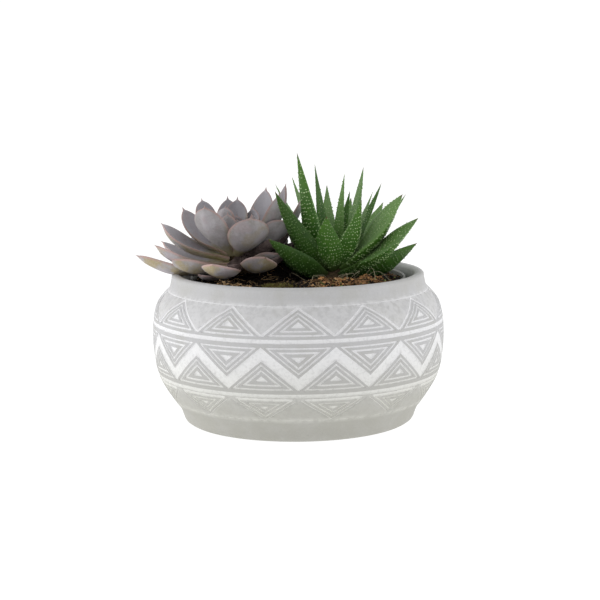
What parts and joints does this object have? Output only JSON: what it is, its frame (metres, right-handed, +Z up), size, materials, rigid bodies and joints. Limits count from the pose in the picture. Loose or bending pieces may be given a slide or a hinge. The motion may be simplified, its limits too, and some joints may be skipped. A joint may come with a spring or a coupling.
{
  "type": "potted succulent arrangement",
  "caption": "Round bowl with a turned rim and foot, holding a liner pot of soil planted with a leaning echeveria and a spiky haworthia.",
  "frame": {"origin": "centre of the bowl's foot, on its underside, which rests on the surface", "axes": "+Z up along the bowl's axis; -Y faces the front view, with the echeveria towards -X and the haworthia towards +X"},
  "size_m": [0.1857, 0.1764, 0.162],
  "materials": {
    "bowl_clay": "matt grey with a white wash in the recesses",
    "liner_plastic": "thin moulded grey plastic",
    "soil": "dark peat with coir and bark chips; stone stands in for soil",
    "moss": "soft moss; fabric stands in for plant tissue",
    "stem": "short woody stem",
    "echeveria_leaf": "waxy grey-lilac bloom; rubber stands in for a fleshy leaf",
    "haworthia_leaf": "green with pale raised bands; rubber stands in for a fleshy leaf"
  },
  "bodies": {
    "root": {"bowl": "bowl_clay", "liner_pot": "liner_plastic", "potting_mix": "soil", "echeveria_root_ball": "soil", "haworthia_root_ball": "soil", "moss_cushion": "moss", "echeveria_stem": "stem", "haworthia_stem": "stem", "echeveria_leaf_01": "echeveria_leaf", "echeveria_leaf_02": "echeveria_leaf", "echeveria_leaf_03": "echeveria_leaf", "echeveria_leaf_04": "echeveria_leaf", "echeveria_leaf_05": "echeveria_leaf", "echeveria_leaf_06": "echeveria_leaf", "echeveria_leaf_07": "echeveria_leaf", "echeveria_leaf_08": "echeveria_leaf", "echeveria_leaf_09": "echeveria_leaf", "echeveria_leaf_10": "echeveria_leaf", "echeveria_leaf_11": "echeveria_leaf", "echeveria_leaf_12": "echeveria_leaf", "echeveria_leaf_13": "echeveria_leaf", "echeveria_leaf_14": "echeveria_leaf", "echeveria_leaf_15": "echeveria_leaf", "echeveria_leaf_16": "echeveria_leaf", "echeveria_leaf_17": "echeveria_leaf", "echeveria_leaf_18": "echeveria_leaf", "echeveria_leaf_19": "echeveria_leaf", "echeveria_leaf_20": "echeveria_leaf", "echeveria_leaf_21": "echeveria_leaf", "echeveria_leaf_22": "echeveria_leaf", "echeveria_leaf_23": "echeveria_leaf", "echeveria_leaf_24": "echeveria_leaf", "echeveria_leaf_25": "echeveria_leaf", "haworthia_leaf_01": "haworthia_leaf", "haworthia_leaf_02": "haworthia_leaf", "haworthia_leaf_03": "haworthia_leaf", "haworthia_leaf_04": "haworthia_leaf", "haworthia_leaf_05": "haworthia_leaf", "haworthia_leaf_06": "haworthia_leaf", "haworthia_leaf_07": "haworthia_leaf", "haworthia_leaf_08": "haworthia_leaf", "haworthia_leaf_09": "haworthia_leaf", "haworthia_leaf_10": "haworthia_leaf", "haworthia_leaf_11": "haworthia_leaf", "haworthia_leaf_12": "haworthia_leaf", "haworthia_leaf_13": "haworthia_leaf", "haworthia_leaf_14": "haworthia_leaf", "haworthia_leaf_15": "haworthia_leaf", "haworthia_leaf_16": "haworthia_leaf", "haworthia_leaf_17": "haworthia_leaf", "haworthia_leaf_18": "haworthia_leaf", "haworthia_leaf_19": "haworthia_leaf", "haworthia_leaf_20": "haworthia_leaf", "haworthia_leaf_21": "haworthia_leaf", "haworthia_leaf_22": "haworthia_leaf", "haworthia_leaf_23": "haworthia_leaf", "haworthia_leaf_24": "haworthia_leaf", "haworthia_leaf_25": "haworthia_leaf", "haworthia_leaf_26": "haworthia_leaf"}
  },
  "joints": []
}
